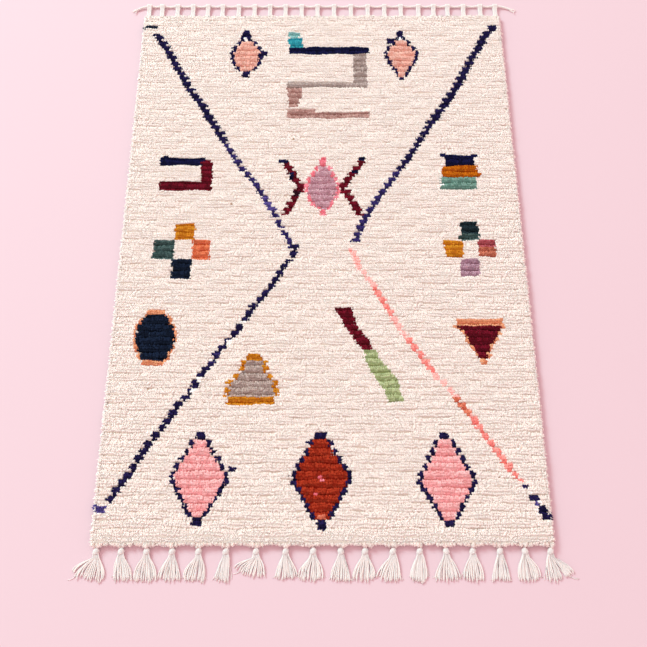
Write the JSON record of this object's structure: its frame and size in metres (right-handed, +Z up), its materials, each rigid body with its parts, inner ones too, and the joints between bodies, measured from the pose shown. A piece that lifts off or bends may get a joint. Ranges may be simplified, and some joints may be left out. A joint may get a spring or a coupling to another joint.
{
  "type": "hand-knotted rug",
  "caption": "Hand-knotted wool pile rug lying flat, with knotted tassels at one end and a heading cord held in warp loops at the other.",
  "frame": {"origin": "on the floor, under the middle of the pile field's flat underside", "axes": "+Y along the rug from the tassels to the heading cord, +X across it, to the right when the heading cord is the far end, +Z up out of the pile"},
  "size_m": [1.0893, 1.6237, 0.0179],
  "materials": {
    "pile_wool": "matt undyed knotted wool pile with dyed wool motifs",
    "warp_wool": "matt undyed plied yarn",
    "cord_wool": "matt undyed twined cord"
  },
  "bodies": {
    "root": {"pile_field": "pile_wool", "tassel_01": "warp_wool", "tassel_02": "warp_wool", "tassel_03": "warp_wool", "tassel_04": "warp_wool", "tassel_05": "warp_wool", "tassel_06": "warp_wool", "tassel_07": "warp_wool", "tassel_08": "warp_wool", "tassel_09": "warp_wool", "tassel_10": "warp_wool", "tassel_11": "warp_wool", "tassel_12": "warp_wool", "tassel_13": "warp_wool", "tassel_14": "warp_wool", "tassel_15": "warp_wool", "tassel_16": "warp_wool", "tassel_17": "warp_wool", "tassel_18": "warp_wool", "warp_loop_01": "warp_wool", "warp_loop_02": "warp_wool", "warp_loop_03": "warp_wool", "warp_loop_04": "warp_wool", "warp_loop_05": "warp_wool", "warp_loop_06": "warp_wool", "warp_loop_07": "warp_wool", "warp_loop_08": "warp_wool", "warp_loop_09": "warp_wool", "warp_loop_10": "warp_wool", "warp_loop_11": "warp_wool", "warp_loop_12": "warp_wool", "warp_loop_13": "warp_wool", "warp_loop_14": "warp_wool", "warp_loop_15": "warp_wool", "warp_loop_16": "warp_wool", "warp_loop_17": "warp_wool", "warp_loop_18": "warp_wool", "warp_loop_19": "warp_wool", "warp_loop_20": "warp_wool", "warp_loop_21": "warp_wool", "warp_loop_22": "warp_wool", "warp_loop_23": "warp_wool", "heading_cord": "cord_wool"}
  },
  "joints": []
}
